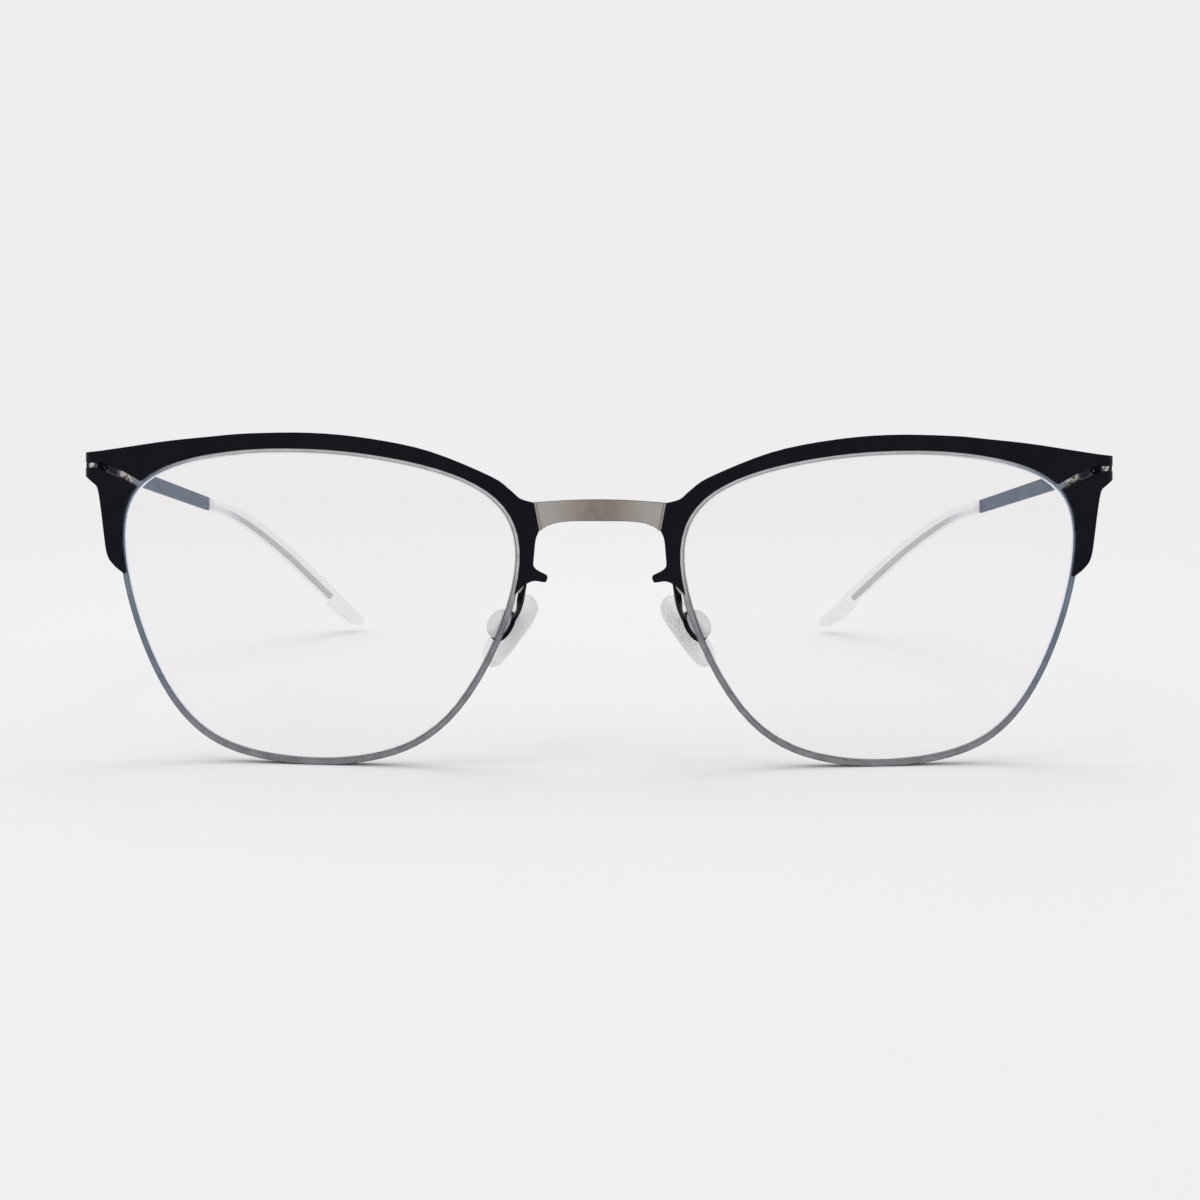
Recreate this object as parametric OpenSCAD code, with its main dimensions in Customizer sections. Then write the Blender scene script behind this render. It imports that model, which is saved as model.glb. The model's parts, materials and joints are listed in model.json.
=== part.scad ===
/* [Rims and lenses] */
// Width of each rim, from its nose side to its hinge side
rim_box_w = 51.6; // [46:0.2:56]
// Height of each rim
rim_box_h = 40; // [34:0.5:46]
// Gap between the two rims at the nose
nose_gap = 19.4; // [17:0.2:24]
// Radius that the whole front is curved to, seen from above
front_r = 320; // [260:10:600]
// Width of the rim wire, seen from the front
rim_w = 0.7; // [0.6:0.05:1.1]
// Depth of the rim wire from front to back
rim_depth = 2; // [1.8:0.1:2.6]
// Depth of the groove inside the rim that holds the lens
groove_d = 0.3; // [0.15:0.05:0.4]
// Width of that groove
groove_w = 0.6; // [0.4:0.05:0.8]
// Thickness of the lens
lens_t = 1.3; // [1:0.1:1.5]
// Radius of the lens faces
lens_r = 300; // [200:10:500]

/* [Black sheet] */
// Thickness of the sheet steel of brows, cheeks, bridge and pad arms
sheet_t = 0.5; // [0.4:0.05:0.6]
// Height of the brow above the rim at its middle
brow_h = 1.75; // [1.2:0.05:3]
// Width by which brow and cheek lap over the rim
lap = 0.3; // [0.1:0.05:0.35]
// How far the end piece stands out beyond the rim
end_reach = 4.6; // [4.2:0.1:6]
// Height of the upper ear at the hinge
upper_ear_h = 1.25; // [1:0.05:1.6]
// Height of the lower ear at the hinge
lower_ear_h = 1; // [0.8:0.05:1.4]
// Height of the slit between the two ears
slit_h = 0.7; // [0.6:0.05:1]
// Depth of the slit's middle below the top of the rim
hinge_drop = 2.65; // [2.2:0.05:3.2]

/* [Bridge] */
// Depth of the bridge's top edge below the top of the rims
bridge_drop = 6.4; // [5:0.1:10]
// Height of the bridge at its middle
bridge_h = 2.7; // [2:0.1:4]
// Radius of the bridge's top edge
bridge_top_r = 80; // [40:5:200]
// Drop of the bridge's lower edge from its middle to its ends
bridge_dip = 1.3; // [0.8:0.1:2.2]
// Width of the pressed step at each end of the bridge
step_w = 0.35; // [0.2:0.05:0.6]
// Depth of that step
step_d = 0.2; // [0.1:0.05:0.3]

/* [Hinge] */
// Outer radius of the temple's rolled coil
coil_r = 0.9; // [0.8:0.05:1.1]
// Running clearance between the coil and the ears rolled around it
coil_clear = 0.05; // [0.02:0.01:0.1]
// Gap between the turns of the coil
turn_gap = 0.06; // [0.04:0.01:0.1]
// Angle over which the coil's turns lie on each other
coil_wrap = 270; // [180:10:280]

/* [Temples] */
// Thickness of the temple strip
strip_t = 0.4; // [0.3:0.05:0.5]
// Height of the temple strip
strip_h = 2.1; // [1.6:0.1:3]
// Length from the hinge to the start of the ear bend
straight_len = 84; // [75:1:95]
// Slope of the temple down towards the ear
temple_slope = 7.5; // [6:0.5:9]
// Slope of the tail behind the ear
tail_slope = 38; // [30:1:42]
// Radius of the ear bend
ear_bend_r = 55; // [40:1:70]
// Length from the hinge to where the tail starts to turn inwards
inward_start = 79; // [70:1:85]
// Radius of the inward turn
inward_r = 60; // [45:1:90]
// Angle that the tail turns inwards
inward_angle = 30; // [10:1:32]
// Height of the bare strip inside the clear tip
core_h = 0.8; // [0.7:0.1:1.4]
// Distance of the bare strip's middle below the middle of the clear tip
core_drop = 0.3; // [0:0.05:0.4]
// Length of the shoulder where the strip narrows inside the tip
shoulder_len = 2; // [1.5:0.5:14]
// Distance from the end of the tip to the end of the strip inside
core_stop = 10; // [9:1:20]

/* [Temple tips] */
// Length from the hinge to where the clear tip starts
tip_start = 73; // [60:1:80]
// Thickness of the clear tip, across
tip_t = 2; // [1.8:0.1:2.6]
// Height of the clear tip where it starts
tip_h = 2.5; // [2.4:0.1:3.2]
// Height of the clear tip behind the ear
tail_h = 3; // [2.6:0.1:4]
// Height of the paddle at its end
paddle_h = 4; // [3:0.1:5]
// Length of the paddle
paddle_len = 9; // [6:0.5:14]
// Clearance of the strip in the tip
core_clear = 0.12; // [0.08:0.01:0.2]

/* [Nose pads] */
// Length of the pad
pad_len = 10.6; // [9:0.2:14]
// Width of the pad
pad_w = 6.2; // [5:0.2:7.6]
// Thickness of the pad
pad_t = 1.6; // [1.2:0.1:2.4]
// Distance between the two pads' buttons, centre to centre
pad_span = 26; // [23:0.2:29]
// Height of the button's middle above the floor
pad_z = 17.4; // [14:0.1:20]
// Distance of the button's middle behind the foremost point of the front
pad_back = 7.4; // [6:0.1:9]
// Angle by which the pads open out towards the face
pad_splay = 25; // [15:1:35]
// Lean of the pads towards each other at the top, seen from the front
pad_lean = 34; // [20:1:40]
// Distance of the button above the middle of the pad
button_up = 0.2; // [0:0.1:1.5]
// Radius of the button
button_r = 1.9; // [1.6:0.05:2.2]
// Thickness of the button
button_t = 1.4; // [0.9:0.1:1.6]
// Radius of the neck through the arm's ring
neck_r = 0.9; // [0.7:0.05:1.1]
// Outer radius of the arm's ring
ring_r = 2.15; // [2:0.05:2.5]
// Width of the arm's strip
arm_w = 0.8; // [0.7:0.05:1]
// Clearance between the silicone and the arm
pad_clear = 0.04; // [0.02:0.01:0.1]

/* [Hidden] */
black = "#1b1b1f";
steel = "#a09c98";
satin = "#b0b0b4";
clear = "#e6ebee";

// Braze film between the layers of the front
film = 0.02;
// Play of the lens in its rim and groove
lens_play = 0.04;
// Sides of the large curved faces
fine = 720;
// Half the width of the nose gap, and the middle of a rim
half_gap = nose_gap / 2;
rim_mid = [half_gap + rim_box_w / 2, rim_box_h / 2];
// Layers of the front, as depths behind its front face
rim_front = sheet_t + film;
rim_back = rim_front + rim_depth;
tab_back = rim_front + sheet_t;
// Largest depth that any prism of the front has to reach
reach_y = 40;
// Level below all of the part, and a height that passes all of it
below_all = -20;
over_all = rim_box_h + 40;

// Hinge: the ears are rolled around the coil, a hair proud of the sheet
proud = 0.03;
bore_r = coil_r + coil_clear;
ear_r = bore_r + sheet_t;
hinge_x = half_gap + rim_box_w + end_reach - ear_r;
hinge_ring = front_r - ear_r + proud;
hinge_y = front_r - sqrt(hinge_ring * hinge_ring - hinge_x * hinge_x);
hinge_z = rim_box_h - hinge_drop;
hinge_turn = asin(hinge_x / hinge_ring);
sheet_end_x = front_r * sin(hinge_turn);
slit_top = hinge_z + slit_h / 2;
slit_low = hinge_z - slit_h / 2;
ear_top = slit_top + upper_ear_h;
ear_low = slit_low - lower_ear_h;
// The ear's rolled end stops short of the sheet at this angle
seam_angle = 215;
// Direction of the front, as an angle seen from above
front_angle = 270;
// The temple's knuckle in the slit stays this far inside the ears' outer face
knuckle_in = 0.08;
// Rise of the brow's top edge and of the cheek's shoulder at the end piece
ear_rise = 0.15;

// Rim outline: corners of its smooth curve, as shares of half the box,
// from the hinge side over the top to the nose side and back below
rim_shape = [[1.02, 0.21], [1.01, 0.82], [0.5, 0.99], [0.12, 1.01], [-0.29, 0.98], [-0.9, 0.8],
             [-1.09, 0.3], [-0.72, -0.78], [-0.27, -1], [0.14, -1.01], [0.55, -0.91], [0.82, -0.51]];
rim_n = len(rim_shape);
per_span = 8;

// Edges beside the rim: each pair is a place along the rim and a distance out from it
// Top edge of the brow, whose distances are in brow heights
brow_edge = [[1.2, 2.4], [1.57, 1.48], [1.98, 1.1], [2.43, 1], [3.2, 1], [3.85, 0.97],
             [4.4, 0.9], [4.97, 0.88], [5.19, 0.98], [5.31, 1.12]];
// Nose side of the brow, with its small stub, down to its tip
nose_edge = [[5.7, 1.83], [5.82, 1.5], [5.9, 1.44], [5.93, 1.7], [5.95, 2.3], [5.965, 3.05], [5.975, 3.3],
             [5.99, 3.36], [6.005, 3.3], [6.018, 3.1], [6.02, 1.95], [6.035, 1.28], [6.07, 0.59], [6.11, 0.12]];
// Outer side of the cheek, from below the ear down to its tip
cheek_edge = [[0.8, 4.68], [0.77, 3.8], [0.6, 2.6], [0.37, 1.9], [0.22, 1.68], [0.13, 1.36], [0.05, 0.62]];
// Where brow and cheek end at the rim
brow_tip = 6.15;
brow_slit = 1.1;
cheek_tip = -0.02;
cheek_slit = 1;
// Where the slanted edges of the slit start, from the ear's inner side
slit_upper = [-0.2, -0.3];
slit_lower = [0.3, -0.3];
// Rise of the middle of those edges over a straight line
slit_bow = 0.18;
// Rim's own tabs behind the sheet: from, to, and width
hinge_tab = [0.86, 1.32, 2.6];
nose_tab = [5.86, 6.13, 0.8];

// Distance of the border between brow and bridge inside the nose gap, above and below
border_top_in = 1.4;
border_low_in = 2.1;
// How flat the middle of the bridge's lower edge stays before it drops
dip_power = 5;

// Temple path
coil_side = coil_r - strip_t / 2;
temple_x = hinge_x - coil_side;
bend_turn = tail_slope - temple_slope;
bend_len = ear_bend_r * bend_turn * PI / 180;
neck_h = slit_h - 2 * coil_clear;
neck_len = ear_r + 0.35;
flare_len = 1;
bend_y = hinge_y + straight_len * cos(temple_slope);
bend_z = hinge_z - straight_len * sin(temple_slope);
tail_y = bend_y + ear_bend_r * (sin(tail_slope) - sin(temple_slope));
tail_z = bend_z - ear_bend_r * (cos(temple_slope) - cos(tail_slope));
inward_y = hinge_y + inward_start * cos(temple_slope);
inward_end_y = inward_y + inward_r * sin(inward_angle);
inward_end = inward_r * (1 - cos(inward_angle));
// The paddle's lower corner stands on the floor, as the rims do
paddle_below = paddle_h - tail_h / 2;
end_taper = 0.75;
tail_len = (tail_z - end_taper * paddle_below * cos(tail_slope)) / sin(tail_slope);
temple_len = straight_len + bend_len + tail_len;
core_end = temple_len - core_stop;
// Length that the strip keeps its full height inside the tip
shoulder_gap = 0.3;

// Nose pad directions: out of its bearing face, along it, and across it
pad_out = [-cos(pad_splay) * cos(pad_lean), sin(pad_splay), -cos(pad_splay) * sin(pad_lean)];
pad_up = [-sin(pad_lean), 0, cos(pad_lean)];
pad_side = cross(pad_up, pad_out);
button_mid = [pad_span / 2, pad_back, pad_z];
ring_mid = button_mid + (button_t / 2 + pad_clear + sheet_t / 2) * pad_out;
// Direction from the ring's middle in which the arm leaves it, above and forwards
entry_angle = 40;
ring_entry = cos(entry_angle) * pad_up + sin(entry_angle) * pad_side;
// Root of the arm on the rim's tab, and its knee: place along the rim and distance out
arm_root = [6.04, 0.52];
arm_knee = [6.26, 0.8];

function basis(t) = [pow(1 - t, 3) / 6, (3 * pow(t, 3) - 6 * t * t + 4) / 6,
                     (-3 * pow(t, 3) + 3 * t * t + 3 * t + 1) / 6, pow(t, 3) / 6];
function corner(i) = rim_shape[(i % rim_n + rim_n) % rim_n];
function raw_rim(u) =
    let (i = floor(u), b = basis(u - i))
    b[0] * corner(i - 1) + b[1] * corner(i) + b[2] * corner(i + 1) + b[3] * corner(i + 2);
raw_pts = [for (i = [0 : rim_n * per_span - 1]) raw_rim(i / per_span)];
raw_x = [for (p = raw_pts) p[0]];
raw_z = [for (p = raw_pts) p[1]];
raw_low = [min(raw_x), min(raw_z)];
raw_size = [max(raw_x) - min(raw_x), max(raw_z) - min(raw_z)];

// Point of the rim's outer edge at place u
function rim_at(u) =
    let (p = raw_rim(u) - raw_low)
    [half_gap + p[0] / raw_size[0] * rim_box_w, p[1] / raw_size[1] * rim_box_h];
// Point at a distance out from the rim's outer edge
function beside_rim(u, out) =
    let (p = rim_at(u), t = rim_at(u + 0.02) - rim_at(u - 0.02), n = [t[1], -t[0]] / norm(t))
    p + out * n;
function rim_outline(out) = [for (i = [0 : rim_n * per_span - 1]) beside_rim(i / per_span, out)];
function rim_stretch(from, to, out, steps) =
    [for (i = [0 : steps]) beside_rim(from + (to - from) * i / steps, out)];
// Smooth curve through points
function through(p, steps) =
    [for (i = [0 : len(p) - 2])
        let (a = p[max(i - 1, 0)], b = p[i], c = p[i + 1], d = p[min(i + 2, len(p) - 1)])
        for (k = [0 : steps - 1])
            let (t = k / steps)
            0.5 * (2 * b + (c - a) * t + (2 * a - 5 * b + 4 * c - d) * t * t
                   + (3 * b - 3 * c + d - a) * t * t * t),
     p[len(p) - 1]];
function reversed(p) = [for (i = [len(p) - 1 : -1 : 0]) p[i]];
function places(edge, unit) = [for (e = edge) beside_rim(e[0], e[1] * unit)];
// Edge of the slit from the ear at a height to its end at the rim
function slit_edge(start, height, place) =
    let (a = [hinge_x - ear_r, height] + start, b = beside_rim(place, -lap))
    [a, (a + b) / 2 + [0, slit_bow]];

// Edges of the bridge
function bridge_top(x) = rim_box_h - bridge_drop - bridge_top_r + sqrt(bridge_top_r * bridge_top_r - x * x);
function bridge_low(x) = rim_box_h - bridge_drop - bridge_h - bridge_dip * pow(abs(x) / border_low_x, dip_power);
border_top_x = half_gap - border_top_in;
border_low_x = half_gap - border_low_in;
border_top = [border_top_x, bridge_top(border_top_x)];
border_low = [border_low_x, bridge_low(border_low_x)];

// Temple path in side view, its slope, and how far it has turned inwards
function temple_angle(s) =
    s < straight_len ? temple_slope
    : min(tail_slope, temple_slope + (s - straight_len) / ear_bend_r * 180 / PI);
function temple_yz(s) =
    s <= straight_len ? [hinge_y + s * cos(temple_slope), hinge_z - s * sin(temple_slope)]
    : s <= straight_len + bend_len
        ? let (a = temple_angle(s))
          [bend_y + ear_bend_r * (sin(a) - sin(temple_slope)),
           bend_z - ear_bend_r * (cos(temple_slope) - cos(a))]
        : let (r = s - straight_len - bend_len)
          [tail_y + r * cos(tail_slope), tail_z - r * sin(tail_slope)];
function inward(y) =
    y <= inward_y ? 0
    : y <= inward_end_y ? inward_r - sqrt(inward_r * inward_r - pow(y - inward_y, 2))
    : inward_end + (y - inward_end_y) * tan(inward_angle);
function inward_turn(y) =
    y <= inward_y ? 0 : y <= inward_end_y ? asin((y - inward_y) / inward_r) : inward_angle;
// Point at an offset across the temple and above its middle line
function temple_at(s, across, above) =
    let (a = temple_angle(s), q = temple_yz(s) + above * [sin(a), cos(a)], w = inward_turn(q[0]))
    [temple_x - inward(q[0]) + across * cos(w), q[0] + across * sin(w), q[1]];

// Half heights of the strip, and of the clear tip above and below its middle line
function blend(a, b, s, from, to) =
    let (t = min(1, max(0, (s - from) / (to - from)))) a + (b - a) * t * t * (3 - 2 * t);
function strip_half(s) =
    s < tip_start ? blend(neck_h / 2, strip_h / 2, s, neck_len, neck_len + flare_len)
    : blend(strip_h / 2, core_h / 2, s, tip_start + shoulder_gap, tip_start + shoulder_len);
function strip_mid(s) = -blend(0, core_drop, s, tip_start + shoulder_gap, tip_start + shoulder_len);
core_stations = concat([for (i = [0 : 4]) tip_start + shoulder_gap + (shoulder_len - shoulder_gap) * i / 4],
                       [for (i = [1 : 22]) let (from = tip_start + shoulder_len) from + (core_end - from) * i / 22]);
function tip_above(s) =
    blend(tip_h / 2, tail_h / 2, s, tip_start + 6, straight_len + bend_len)
    * blend(1, end_taper, s, temple_len - 2, temple_len);
function tip_below(s) =
    blend(blend(tip_h / 2, tail_h / 2, s, tip_start + 6, straight_len + bend_len),
          paddle_below, s, temple_len - paddle_len, temple_len - paddle_len + 1.2)
    * blend(1, end_taper, s, temple_len - 3, temple_len);
function tip_across(s) =
    blend(tip_t / 2, 0.86 * tip_t / 2, s, temple_len - paddle_len - 2, temple_len - paddle_len + 2)
    * blend(1, end_taper, s, temple_len - 1.2, temple_len);
// Ring around the clear tip, an oval with fuller corners
tip_sides = 16;
tip_power = 2 / 2.4;
function fuller(v) = sign(v) * pow(abs(v), tip_power);
function tip_ring(s) =
    [for (k = [0 : tip_sides - 1])
        let (c = fuller(cos(360 * k / tip_sides)), z = fuller(sin(360 * k / tip_sides)))
        temple_at(s, tip_across(s) * c, (z > 0 ? tip_above(s) : tip_below(s)) * z)];

// The part's origin is at the middle of its box, on the floor
mid_y = max([for (p = tip_ring(temple_len)) p[1]]) / 2;

// Rounded bar through rings of points
module ring_sweep(rings) {
    n = len(rings[0]);
    m = len(rings);
    sides = [for (i = [0 : m - 2], k = [0 : n - 1])
        let (j = (k + 1) % n)
        each [[i * n + k, i * n + j, (i + 1) * n + k],
              [i * n + j, (i + 1) * n + j, (i + 1) * n + k]]];
    ends = [[for (k = [n - 1 : -1 : 0]) k], [for (k = [0 : n - 1]) (m - 1) * n + k]];
    polyhedron([for (r = rings) each r], concat(sides, ends), convexity = 6);
}

// Prism of a front outline, through the whole depth of the front
module front_prism(outline) {
    translate([0, reach_y, 0])
        rotate([90, 0, 0])
            linear_extrude(reach_y + 5)
                polygon(outline);
}

// Curved layer of the front between two depths behind its front face
module front_layer(near, far) {
    translate([0, front_r, below_all])
        difference() {
            cylinder(h = over_all, r = front_r - near, $fn = fine);
            translate([0, 0, -1])
                cylinder(h = over_all + 2, r = front_r - far, $fn = fine);
        }
}

// Sector of a disc, to cut an opening in a ring
module sector(from, to, r, h) {
    steps = 6;
    linear_extrude(h)
        polygon(concat([[0, 0]], [for (i = [0 : steps])
            let (a = from + (to - from) * i / steps) r * [cos(a), sin(a)]]));
}

// Sheet of the end piece: the curved layer, and the ear that is rolled from it
module sheet_with_ear() {
    difference() {
        union() {
            intersection() {
                front_layer(0, sheet_t);
                translate([-sheet_end_x, -5, below_all])
                    cube([2 * sheet_end_x, reach_y, over_all]);
            }
            translate([hinge_x, hinge_y, below_all])
                difference() {
                    cylinder(h = over_all, r = ear_r, $fn = 96);
                    translate([0, 0, -1])
                        sector(seam_angle, front_angle + hinge_turn, 2 * ear_r, over_all + 2);
                }
        }
        translate([hinge_x, hinge_y, below_all - 1])
            cylinder(h = over_all + 2, r = bore_r, $fn = 96);
    }
}

module brow() {
    inner = rim_stretch(brow_tip, brow_slit, -lap, 40);
    slit = reversed(slit_edge(slit_upper, slit_top, brow_slit));
    end = [[hinge_x - ear_r, slit_top], [hinge_x + 2 * ear_r, slit_top],
           [hinge_x + 2 * ear_r, ear_top - ear_rise], [hinge_x, ear_top + ear_rise]];
    top = through(concat([[hinge_x, ear_top + ear_rise]], places(brow_edge, brow_h), [border_top]), 4);
    nose = through(concat([border_low], places(nose_edge, 1)), 3);
    color(black)
        intersection() {
            sheet_with_ear();
            front_prism(concat(inner, slit, end, top, nose));
        }
}

module cheek() {
    inner = rim_stretch(cheek_slit, cheek_tip, -lap, 10);
    outer = through(concat([[hinge_x + ear_r, ear_low]], places(cheek_edge, 1)), 4);
    slit = slit_edge(slit_lower, slit_low, cheek_slit);
    end = [[hinge_x + 2 * ear_r, ear_low], [hinge_x + 2 * ear_r, slit_low], [hinge_x - 0.3, slit_low]];
    color(black)
        intersection() {
            sheet_with_ear();
            front_prism(concat(inner, reversed(outer), end, slit));
        }
}

module rim() {
    outer = rim_outline(0);
    inner = rim_outline(-rim_w);
    groove = rim_outline(-rim_w + groove_d);
    groove_mid = rim_front + rim_depth / 2;
    color(satin)
        difference() {
            union() {
                intersection() {
                    front_layer(rim_front, rim_back);
                    front_prism(outer);
                }
                intersection() {
                    front_layer(rim_front, tab_back);
                    union() {
                        front_prism(tab_outline(hinge_tab));
                        front_prism(tab_outline(nose_tab));
                    }
                }
            }
            front_prism(inner);
            intersection() {
                front_layer(groove_mid - groove_w / 2, groove_mid + groove_w / 2);
                front_prism(groove);
            }
        }
}

// Tab of the rim behind the sheet, tapered at both ends
function tab_outline(t) =
    concat(rim_stretch(t[0], t[1], -rim_w / 2, 8),
           reversed([for (i = [0 : 8])
               beside_rim(t[0] + (t[1] - t[0]) * i / 8, t[2] * sqrt(sin(180 * (i + 0.4) / 8.8)))]));

module lens() {
    edge = rim_outline(-rim_w - lens_play);
    tongue = rim_outline(-rim_w + groove_d - lens_play);
    mid_depth = rim_front + rim_depth / 2;
    tongue_t = groove_w - 2 * lens_play;
    mid_turn = asin(rim_mid[0] / front_r);
    lens_front = rim_front + 0.1;
    axis = [sin(mid_turn), -cos(mid_turn)];
    face_mid = [0, front_r] + (front_r - lens_front) * axis;
    ball = face_mid - lens_r * axis;
    color(clear, 0.4)
        union() {
            intersection() {
                front_prism(edge);
                translate([ball[0], ball[1], rim_mid[1]])
                    difference() {
                        sphere(r = lens_r, $fn = fine / 2);
                        sphere(r = lens_r - lens_t, $fn = fine / 2);
                    }
            }
            intersection() {
                front_prism(tongue);
                front_layer(mid_depth - tongue_t / 2, mid_depth + tongue_t / 2);
            }
        }
}

module bridge() {
    color(steel)
        difference() {
            intersection() {
                front_layer(0, tab_back);
                union() {
                    bridge_span();
                    at_both_ends() bridge_lug();
                }
            }
            at_both_ends() {
                intersection() {
                    front_layer(-1, rim_front);
                    beyond_border(film);
                }
                intersection() {
                    front_layer(-1, step_d);
                    beyond_border(step_w);
                }
            }
            intersection() {
                front_layer(sheet_t, tab_back + 1);
                between_borders(step_w + sheet_t);
            }
        }
}

module at_both_ends() {
    children();
    mirror([1, 0, 0])
        children();
}

// Lug of the bridge behind the brow, up to the rim
module bridge_lug() {
    front_prism(concat([border_low + [-0.3, 0.1], border_top - [0.3, 0.1]], rim_stretch(5.4, 5.62, film, 4)));
}

// All that lies outwards of the slanted border, drawn in by a distance
module beyond_border(draw_in) {
    low = border_low - [draw_in, 0];
    rise = border_top - border_low;
    front_prism([low - rise, low + 2 * rise, low + [10, 8], low + [10, -5]]);
}

// All between the two slanted borders, drawn in by a distance
module between_borders(draw_in) {
    low = border_low - [draw_in, 0];
    rise = border_top - border_low;
    side = [low - rise, low + 2 * rise];
    front_prism(concat(side, [for (p = reversed(side)) [-p[0], p[1]]]));
}

// Span of the bridge between its two slanted borders
module bridge_span() {
    steps = 16;
    top_x = border_top_x - film;
    low_x = border_low_x - film;
    front_prism(concat(
        [for (i = [0 : steps]) let (x = top_x - 2 * top_x * i / steps) [x, bridge_top(x)]],
        [for (i = [0 : steps]) let (x = -low_x + 2 * low_x * i / steps) [x, bridge_low(x)]]));
}

// Places a shape in the pad's own directions, with the ring's middle at its origin
module at_pad() {
    multmatrix([[pad_side[0], pad_up[0], pad_out[0], ring_mid[0]],
                [pad_side[1], pad_up[1], pad_out[1], ring_mid[1]],
                [pad_side[2], pad_up[2], pad_out[2], ring_mid[2]],
                [0, 0, 0, 1]])
        children();
}

module pad_arm() {
    steps = 16;
    root = beside_rim(arm_root[0], arm_root[1]);
    knee = beside_rim(arm_knee[0], arm_knee[1]);
    back = tab_back + film + sheet_t / 2;
    p0 = [root[0], front_depth(root[0], back), root[1]];
    p1 = [knee[0], front_depth(knee[0], back) + 0.4, knee[1]];
    p3 = ring_mid + ring_r * 0.82 * ring_entry;
    p2 = p3 + 1.6 * ring_entry - 0.3 * pad_out;
    rings = [for (i = [0 : steps])
        let (t = i / steps,
             c = pow(1 - t, 3) * p0 + 3 * pow(1 - t, 2) * t * p1 + 3 * (1 - t) * t * t * p2 + pow(t, 3) * p3,
             d = 3 * pow(1 - t, 2) * (p1 - p0) + 6 * (1 - t) * t * (p2 - p1) + 3 * t * t * (p3 - p2),
             f = d / norm(d),
             n0 = (1 - t) * (1 - t) * [0, 1, 0] + t * (2 - t) * pad_out,
             n1 = n0 - (n0 * f) * f,
             n = n1 / norm(n1),
             w = cross(f, n))
        [c + w * arm_w / 2 + n * sheet_t / 2, c - w * arm_w / 2 + n * sheet_t / 2,
         c - w * arm_w / 2 - n * sheet_t / 2, c + w * arm_w / 2 - n * sheet_t / 2]];
    color(black)
        difference() {
            union() {
                ring_sweep(rings);
                at_pad()
                    translate([0, 0, -sheet_t / 2])
                        cylinder(h = sheet_t, r = ring_r, $fn = 64);
            }
            at_pad()
                translate([0, 0, -sheet_t])
                    cylinder(h = 2 * sheet_t, r = neck_r + pad_clear, $fn = 64);
        }
}

// Depth behind the origin of a layer of the curved front, at a place across
function front_depth(x, layer) = front_r - sqrt(pow(front_r - layer, 2) - x * x);

module nose_pad() {
    steps = 28;
    // Thickness stations: share of the thickness, and share of the outline
    crown = [[0, 0.72], [0.14, 0.88], [0.34, 0.98], [0.55, 1], [0.78, 0.94], [0.93, 0.84], [1, 0.72]];
    color(clear, 0.6)
        at_pad() {
            translate([0, -button_up, sheet_t / 2 + pad_clear])
                ring_sweep([for (c = reversed(crown))
                    [for (i = [0 : steps - 1])
                        let (a = 360 * i / steps,
                             wide = 1 - 0.13 * sin(a))
                        [pad_w / 2 * c[1] * wide * cos(a),
                         (pad_len / 2 - (1 - c[1]) * pad_w / 2) * sin(a),
                         c[0] * pad_t]]]);
            translate([0, 0, -sheet_t / 2 - pad_clear - button_t / 2])
                cylinder(h = button_t / 2 + 2 * pad_clear + sheet_t + pad_t / 2, r = neck_r, $fn = 64);
            translate([0, 0, -sheet_t / 2 - pad_clear - button_t])
                button();
        }
}

// Button with a rounded edge
module button() {
    edge = button_t * 0.45;
    rotate_extrude($fn = 64)
        polygon(concat([[0, button_t], [button_r, button_t]],
                       [for (i = [0 : 6]) let (a = 15 * i)
                           [button_r - edge + edge * cos(a), edge - edge * sin(a)]],
                       [[0, 0]]));
}

// Upper or lower edge of the strip in side view
function strip_edge(s, side) =
    let (a = temple_angle(s)) temple_yz(s) + (strip_mid(s) + side * strip_half(s)) * [sin(a), cos(a)];

module temple() {
    stations = concat([for (i = [1 : 4]) neck_len + flare_len * i / 4], core_stations);
    // The neck runs level through the slit
    neck = [for (y = [0, neck_len]) [hinge_y + y, hinge_z]];
    lift = [0, neck_h / 2];
    upper = concat([for (p = neck) p + lift],
                   [for (s = stations) strip_edge(s, 1)]);
    lower = concat([for (p = neck) p - lift],
                   [for (s = stations) strip_edge(s, -1)]);
    color(black)
        difference() {
            union() {
                intersection() {
                    rotate([90, 0, 90])
                        linear_extrude(2 * hinge_x)
                            polygon(concat(upper, reversed(lower)));
                    strip_plan();
                }
                translate([hinge_x, hinge_y, ear_low + coil_clear])
                    cylinder(h = ear_top - ear_low - ear_rise - 2 * coil_clear, r = coil_r, $fn = 96);
                translate([hinge_x, hinge_y, hinge_z - neck_h / 2])
                    cylinder(h = neck_h, r = ear_r - knuckle_in, $fn = 96);
            }
            translate([hinge_x, hinge_y, ear_low - 1])
                linear_extrude(ear_top - ear_low + 2)
                    coil_gap();
        }
}

// Strip seen from above: straight, then turned inwards
module strip_plan() {
    far = 60;
    joint = 0.05;
    turn_x = temple_x - inward_r;
    translate([0, 0, below_all])
        linear_extrude(over_all) {
            translate([temple_x - strip_t / 2, hinge_y])
                square([strip_t, inward_y + joint - hinge_y]);
            intersection() {
                translate([turn_x, inward_y])
                    difference() {
                        circle(r = inward_r + strip_t / 2, $fn = fine);
                        circle(r = inward_r - strip_t / 2, $fn = fine);
                    }
                translate([turn_x, inward_y])
                    polygon([[0, 0], [2 * inward_r, 0],
                             2 * inward_r * [cos(inward_angle), sin(inward_angle)]]);
            }
            translate([turn_x, inward_y])
                rotate(inward_angle)
                    translate([inward_r - strip_t / 2, -joint])
                        square([strip_t, far]);
        }
}

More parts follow.
